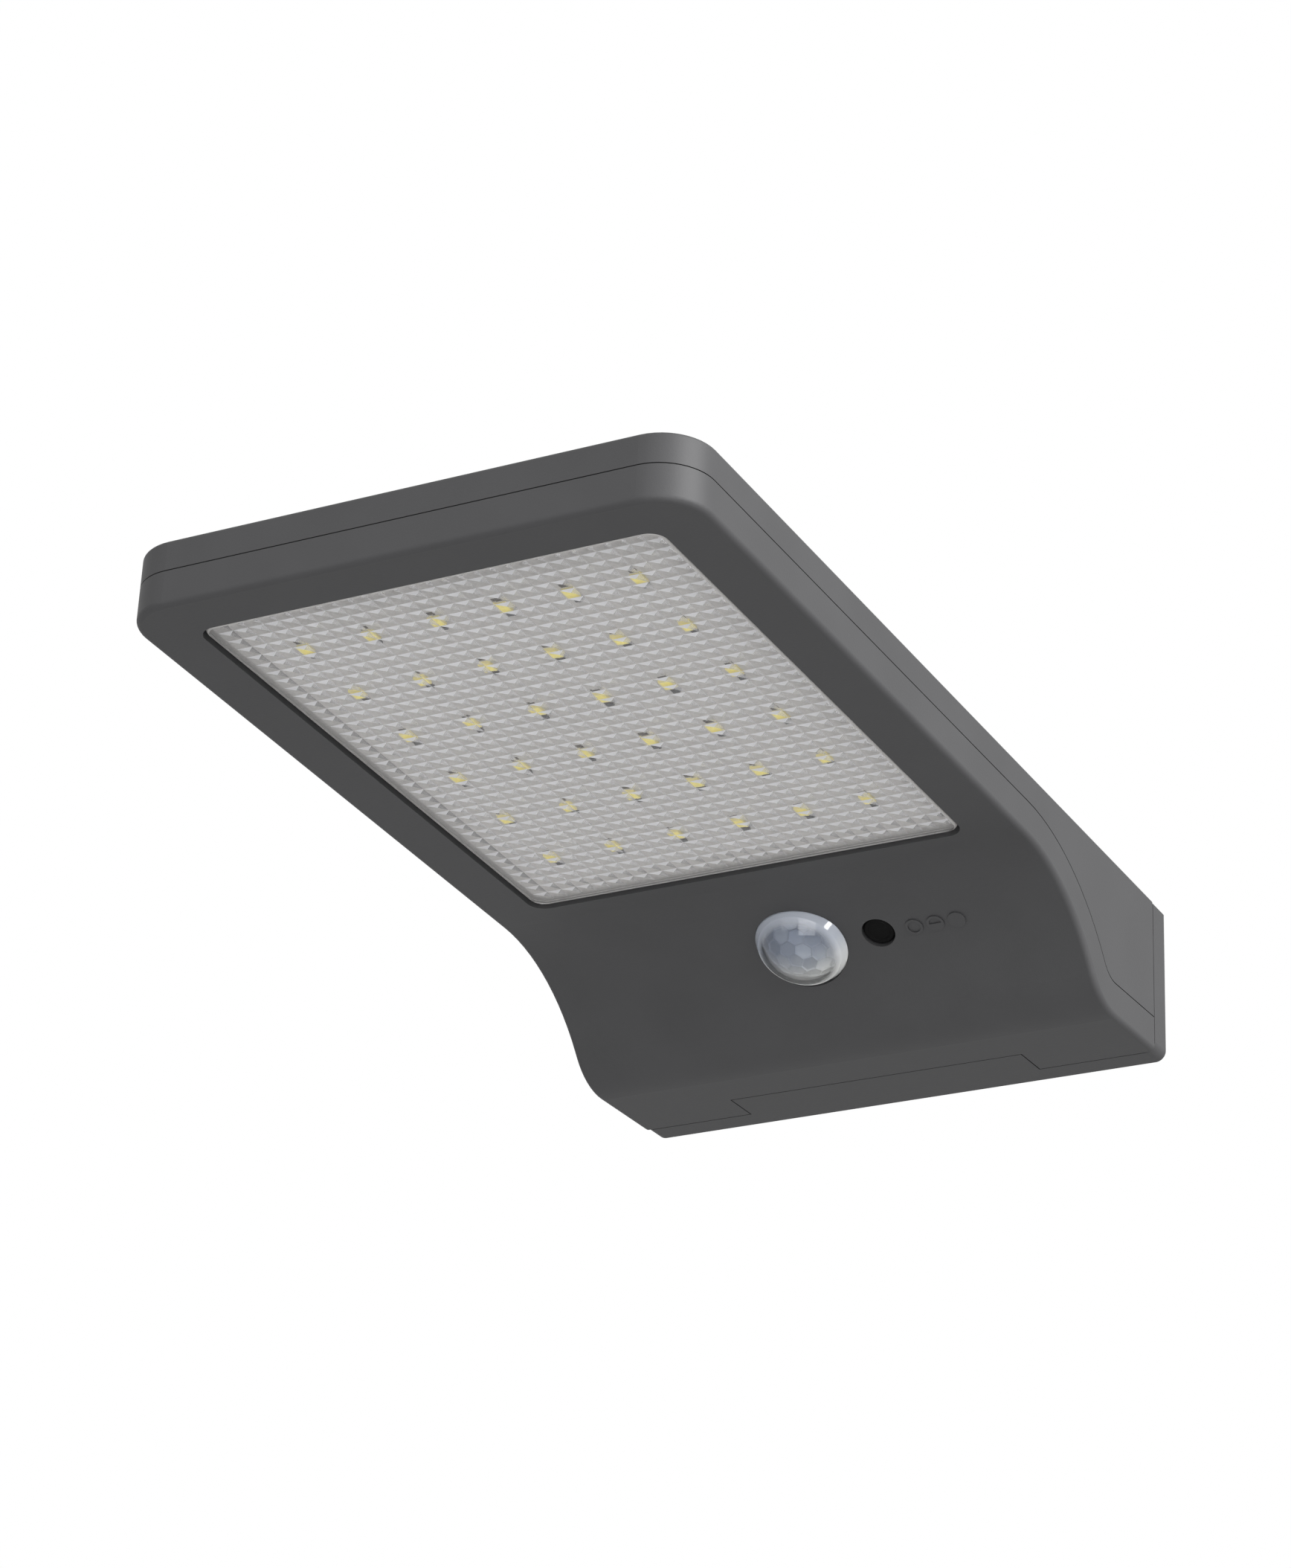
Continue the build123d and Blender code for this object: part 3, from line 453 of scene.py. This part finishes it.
def done(made, place, body, material, stands_for=(), smooth=None):
    """Puts the piece at its place with an identity transform, gives its finish and its body."""
    fresh()
    made.select_set(True)
    bpy.context.view_layer.objects.active = made
    made.matrix_world = place
    bpy.ops.object.transform_apply(location=True, rotation=True, scale=True)
    if smooth is not None:
        bpy.ops.object.shade_smooth_by_angle(angle=math.radians(smooth))
    made.data.materials.clear()
    made.data.materials.append(material)
    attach(made, body)
    for name in stands_for:
        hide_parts(name)
    return made


# ---------------------------------------------------------------- pieces
class LAMP_OT_finishes(bpy.types.Operator):
    """Gives each CAD piece that is shown the finish of its real material"""
    bl_idname = "lamp.finishes"
    bl_label = "Finishes"

    def execute(self, context):
        table = finish_table()
        for name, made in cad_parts.items():
            if name in table:
                made.data.materials.clear()
                made.data.materials.append(table[name])
        return {"FINISHED"}


class LAMP_OT_lens(bpy.types.Operator):
    """Lens with square prisms on its inner face, a smooth outer face and a ledge behind the housing"""
    bl_idname = "lamp.lens"
    bl_label = "Prism lens"

    def execute(self, context):
        s = sizes()
        fresh()
        bpy.ops.mesh.primitive_grid_add(x_subdivisions=s.prism_columns, y_subdivisions=s.prism_rows, size=1)
        made = begin("lens_prisms")
        field = (s.prism_columns * s.prism_pitch, s.prism_rows * s.prism_pitch)
        valley = -s.lens_back - s.prism_depth
        bpy.ops.transform.resize(value=(*field, 1))
        bpy.ops.transform.translate(value=(0, 0, valley))
        bpy.ops.mesh.poke(offset=s.prism_depth)
        pick(made, "EDGE", lambda c, e: e.is_boundary)
        window = (s.lens_width, s.lens_length)
        ledge = (s.lens_width + 2 * s.lens_flange, s.lens_length + 2 * s.lens_flange)
        grow((window[0] / field[0], window[1] / field[1]))
        grow((1, 1), (0, 0, s.prism_depth))
        grow((ledge[0] / window[0], ledge[1] / window[1]))
        grow((1, 1), (0, 0, -s.flange_thickness))
        grow((window[0] / ledge[0], window[1] / ledge[1]))
        grow((1, 1), (0, 0, s.lens_back + s.flange_thickness - s.lens_face))
        bpy.ops.mesh.edge_face_add()
        near = 0.01 * MM
        # Corners of the window and of the ledge, then the round of the outer face.
        for half_x, half_y, radius in ((window[0] / 2, window[1] / 2, s.lens_corner),
                                       (ledge[0] / 2, ledge[1] / 2, s.lens_corner + s.lens_flange)):
            pick(made, "EDGE", lambda c, e: abs(abs(c.x) - half_x) < near and abs(abs(c.y) - half_y) < near
                 and abs(e.verts[0].co.z - e.verts[1].co.z) > near and c.z < -s.lens_back - near)
            bpy.ops.mesh.bevel(offset=radius, offset_type="OFFSET", segments=6)
        pick(made, "EDGE", lambda c, e: abs(c.z + s.lens_face) < near)
        bpy.ops.mesh.bevel(offset=s.lens_edge, segments=4)
        face_outwards()
        done(made, head_place(), "lamp", polished_acrylic(), ["prism_lens"], 4)
        made.visible_shadow = False
        # Facets that lean away from the wall turn most of the light back, those that lean to the right a
        # little of it: that turned light is a painted reflection, a share of opaque white on each facet. The
        # rounded edge and the sides are satin, with painted shade in their grey.
        clear, front, right, edge = range(4)
        for material in (painted_reflection_facet(0.9), painted_reflection_facet(0.15), satin_edge_painted_shade()):
            made.data.materials.append(material)
        untilt = head_place().to_3x3().inverted()
        slope = math.sin(math.atan(2 * s.prism_depth / s.prism_pitch)) / 2
        face_on, edge_low, edge_high = 0.9, -0.97, 0.3
        for face in made.data.polygons:
            lean = untilt @ face.normal
            if len(face.vertices) == 3 and lean.z > face_on:
                face.material_index = front if lean.y < -slope else right if lean.x > slope else clear
            elif edge_low < lean.z < edge_high:
                face.material_index = edge
        return {"FINISHED"}


class LAMP_OT_solder(bpy.types.Operator):
    """Two dulled solder pads at the ends of each LED"""
    bl_idname = "lamp.solder"
    bl_label = "LED solder pads"

    def execute(self, context):
        s = sizes()
        pad = (2.0 * MM, 1.1 * MM, 0.15 * MM)
        board_half = 0.8 * MM
        reach = 2.8 * MM
        round_share = 0.8
        start = -(s.led_count - 1) / 2
        corner = (start * s.led_pitch_x, start * s.led_pitch_y - reach, -board_half - pad[2] / 2)
        fresh()
        bpy.ops.mesh.primitive_cube_add(size=1)
        made = begin("led_solder_pads")
        bpy.ops.transform.resize(value=pad)
        bpy.ops.transform.translate(value=corner)
        pick(made, "EDGE", lambda c, e: c.z < -board_half - pad[2] * 0.6)
        bpy.ops.mesh.bevel(offset=pad[2] * round_share, segments=2)
        bpy.ops.object.mode_set(mode="OBJECT")
        for count, step in ((2, (0, 2 * reach, 0)), (s.led_count, (s.led_pitch_x, 0, 0)),
                            (s.led_count, (0, s.led_pitch_y, 0))):
            row = made.modifiers.new("row", "ARRAY")
            row.count = count
            row.use_relative_offset = False
            row.use_constant_offset = True
            row.constant_offset_displace = step
            bpy.ops.object.modifier_apply(modifier=row.name)
        done(made, head_place(), "lamp", dull_solder(), (), 40)
        return {"FINISHED"}


class LAMP_OT_dome(bpy.types.Operator):
    """Milky sensor dome with its neck and flange, and the lens cells inside it"""
    bl_idname = "lamp.dome"
    bl_label = "Sensor dome"

    def execute(self, context):
        s = sizes()
        r = s.dome_diameter / 2
        shoulder, neck, flange_r, flange_t = 0.5 * MM, -3.8 * MM, 13.0 * MM, 1.2 * MM
        shoulder_round = 0.8 * MM
        rise = s.dome_height - shoulder
        ball = (r * r + rise * rise) / (2 * rise)
        middle = s.dome_height - ball
        near = 0.05 * MM
        fresh()
        bpy.ops.mesh.primitive_uv_sphere_add(segments=72, ring_count=60, radius=ball, location=(0, 0, middle))
        made = begin("sensor_dome")
        bpy.ops.mesh.bisect(plane_co=(0, 0, shoulder), plane_no=(0, 0, 1), clear_inner=True)
        pick(made, "EDGE", lambda c, e: e.is_boundary)
        grow((1, 1), (0, 0, neck - shoulder))
        grow((flange_r / r, flange_r / r))
        grow((1, 1), (0, 0, -flange_t))
        pick(made, "EDGE", lambda c, e: abs(c.z - shoulder) < near)
        bpy.ops.mesh.bevel(offset=shoulder_round, segments=5)
        face_outwards()
        thicken(made, s.dome_wall)
        done(made, sensor_place(), "lamp", milky_polyethylene(), ["pir_dome"], 35)
        made.visible_shadow = False

        # Lens cells: a ball of hexagons just inside the dome, each sunk within a narrow ridge, with a
        # foot that closes the gap to the dome.
        gap, foot, foot_flare = 0.25 * MM, 0.2 * MM, 1.018
        ridge, sink, cell_wall = 0.2 * MM, 0.3 * MM, 0.3 * MM
        inner = ball - s.dome_wall - gap
        fresh()
        bpy.ops.mesh.primitive_ico_sphere_add(subdivisions=2, radius=inner, location=(0, 0, middle))
        cells = begin("dome_lens_cells")
        bpy.ops.mesh.bevel(affect="VERTICES", offset_pct=33.3, offset_type="PERCENT", segments=1)
        bpy.ops.mesh.select_all(action="SELECT")
        bpy.ops.mesh.bisect(plane_co=(0, 0, foot), plane_no=(0, 0, 1), clear_inner=True)
        bpy.ops.mesh.select_all(action="SELECT")
        bpy.ops.mesh.inset(thickness=ridge, depth=-sink, use_individual=True)
        pick(cells, "EDGE", lambda c, e: e.is_boundary)
        grow((foot_flare, foot_flare))
        thicken(cells, cell_wall)
        # Lit, mid and shaded copies of the cell material: painted shade.
        painted_shade_tones = (lens_cell("cell_painted_shade_mid", "#b7bec9", "#dadbda"),
                 lens_cell("cell_painted_shade_dark", "#9ba5b4", "#bfc1c2"),
                 lens_cell("cell_painted_light", "#d0d5db", "#f2f2f1"))
        done(cells, sensor_place(), "lamp", painted_shade_tones[0], (), 20)
        for material in painted_shade_tones[1:]:
            cells.data.materials.append(material)
        # A fixed scramble of each cell's direction picks its painted shade tone: lit, mid or shaded.
        scramble = Vector((12.41, 21.17, 31.39))
        for face in cells.data.polygons:
            if len(face.vertices) > 4:
                face.material_index = int(abs(math.sin(face.normal.dot(scramble))) * len(painted_shade_tones)) % len(painted_shade_tones)
        return {"FINISHED"}


class LAMP_OT_button(bpy.types.Operator):
    """Mode button: rubber cap with a dished top and a flange behind the housing"""
    bl_idname = "lamp.button"
    bl_label = "Mode button"

    def execute(self, context):
        cap_r, flange_r = 3.65 * MM, 5.2 * MM
        top, flange_top, back = -0.5 * MM, -3.4 * MM, -4.4 * MM
        rim, dish_slope, dish, cap_round = 0.9 * MM, 0.4 * MM, 0.3 * MM, 0.5 * MM
        near, near_rim = 0.01 * MM, 0.05 * MM
        low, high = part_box("mode_button")
        across = (low.x + high.x) / 2
        fresh()
        bpy.ops.mesh.primitive_cylinder_add(vertices=64, radius=cap_r, depth=top - flange_top,
                                            location=(0, 0, (top + flange_top) / 2))
        made = begin("button_cap")
        pick(made, "FACE", lambda c, n: n.z < -0.9)
        bpy.ops.mesh.delete(type="FACE")
        pick(made, "EDGE", lambda c, e: e.is_boundary)
        grow((flange_r / cap_r, flange_r / cap_r))
        grow((1, 1), (0, 0, back - flange_top))
        bpy.ops.mesh.edge_face_add()
        pick(made, "FACE", lambda c, n: n.z > 0.9 and c.z > top - near)
        bpy.ops.mesh.inset(thickness=rim, depth=0)
        bpy.ops.mesh.inset(thickness=dish_slope, depth=-dish)
        pick(made, "EDGE", lambda c, e: abs(c.z - top) < near and abs(c.xy.length - cap_r) < near_rim)
        bpy.ops.mesh.bevel(offset=cap_round, segments=4)
        face_outwards()
        place = sensor_place() @ Matrix.Translation((across, 0, 0))
        done(made, place, "button", black_silicone(), ["mode_button"], 35)
        return {"FINISHED"}


class LAMP_OT_stage(bpy.types.Operator):
    """Camera, pale floor, soft lights and a white surround"""
    bl_idname = "lamp.stage"
    bl_label = "Stage"

    def execute(self, context):
        azimuth, elevation, roll = (math.radians(a) for a in (28.81, -24.13, 1.83))
        stand, focal_length = (0.46533, -0.97880, -0.42269), 111.68
        lens = bpy.data.cameras.new("camera")
        lens.lens = focal_length
        lens.sensor_width = 36
        lens.clip_end = 50
        camera = bpy.data.objects.new("camera", lens)
        context.scene.collection.objects.link(camera)
        back = Vector((math.sin(azimuth) * math.cos(elevation),
                       -math.cos(azimuth) * math.cos(elevation), math.sin(elevation)))
        level = Vector((0, 0, 1)).cross(back).normalized()
        rise = back.cross(level)
        right = level * math.cos(roll) + rise * math.sin(roll)
        up = rise * math.cos(roll) - level * math.sin(roll)
        turn = Matrix((right, up, back)).transposed().to_4x4()
        camera.matrix_world = Matrix.Translation(stand) @ turn
        context.scene.camera = camera

        floor_side, floor_drop = 30, 1.3
        fresh()
        bpy.ops.mesh.primitive_plane_add(size=floor_side, location=(0, 0, -floor_drop))
        floor = context.object
        floor.name = "floor"
        pale, shader = plain("painted_floor")
        grained(pale, shader, 4 * MM, 0.2 * MM, 0.7, 0.8, 0.01, "#d2d2d2", 400 * MM)
        floor.data.materials.append(pale)

        # Surround: white to the camera, and to the lamp dimmer below than above.
        below, above = 0.74, 1.0
        world = bpy.data.worlds.new("surround")
        context.scene.world = world
        world.use_nodes = True
        sky = world.node_tree.nodes["Background"]
        ray = node(world, "ShaderNodeLightPath")
        place = node(world, "ShaderNodeTexCoord").outputs["Generated"]
        split = node(world, "ShaderNodeSeparateXYZ", {}, {"Vector": place})
        glow = node(world, "ShaderNodeMapRange",
                    {"From Min": -1.0, "From Max": 1.0, "To Min": below, "To Max": above},
                    {"Value": split.outputs["Z"]})
        seen = node(world, "ShaderNodeMath", {"operation": "MAXIMUM"},
                    {0: ray.outputs["Is Camera Ray"], 1: glow.outputs["Result"]})
        sky.inputs["Color"].default_value = (1, 1, 1, 1)
        world.node_tree.links.new(seen.outputs[0], sky.inputs["Strength"])

        # Soft lights: place and side in metres, power in watts.
        aim = Vector((0, -0.12, 0))
        for name, place, size, power in (("key", (1.6, -0.5, 0.6), 1.2, 74.0),
                                         ("fill", (-0.4, -1.8, 0.2), 1.2, 5.0),
                                         ("low", (0.9, -1.9, -0.4), 1.4, 18.0)):
            light = bpy.data.lights.new(name, "AREA")
            light.size = size
            light.energy = power
            lamp = bpy.data.objects.new(name, light)
            context.scene.collection.objects.link(lamp)
            lamp.location = place
            lamp.rotation_euler = (Vector(place) - aim).to_track_quat("Z", "Y").to_euler()
        context.scene.view_settings.view_transform = "Standard"
        return {"FINISHED"}


class LAMP_PT_panel(bpy.types.Panel):
    """Sizes, colours and pieces of the lamp"""
    bl_idname = "LAMP_PT_panel"
    bl_label = "Solar lamp"
    bl_space_type = "VIEW_3D"
    bl_region_type = "UI"
    bl_category = "Solar lamp"

    def draw(self, context):
        for group in (context.scene.lamp_sizes, context.scene.lamp_colours):
            for key in group.__annotations__:
                self.layout.prop(group, key)
        for operator in OPERATORS:
            self.layout.operator(operator.bl_idname)


OPERATORS = (LAMP_OT_stage, LAMP_OT_finishes, LAMP_OT_lens, LAMP_OT_solder, LAMP_OT_dome, LAMP_OT_button)
CLASSES = (LampSizes, LampColours, *OPERATORS, LAMP_PT_panel)


def register():
    for kind in CLASSES:
        bpy.utils.register_class(kind)
    bpy.types.Scene.lamp_sizes = PointerProperty(type=LampSizes)
    bpy.types.Scene.lamp_colours = PointerProperty(type=LampColours)


def unregister():
    del bpy.types.Scene.lamp_sizes
    del bpy.types.Scene.lamp_colours
    for kind in reversed(CLASSES):
        bpy.utils.unregister_class(kind)


def main():
    register()
    bpy.ops.lamp.stage()
    bpy.ops.lamp.finishes()
    bpy.ops.lamp.lens()
    bpy.ops.lamp.solder()
    bpy.ops.lamp.dome()
    bpy.ops.lamp.button()


if __name__ == "__main__":
    main()
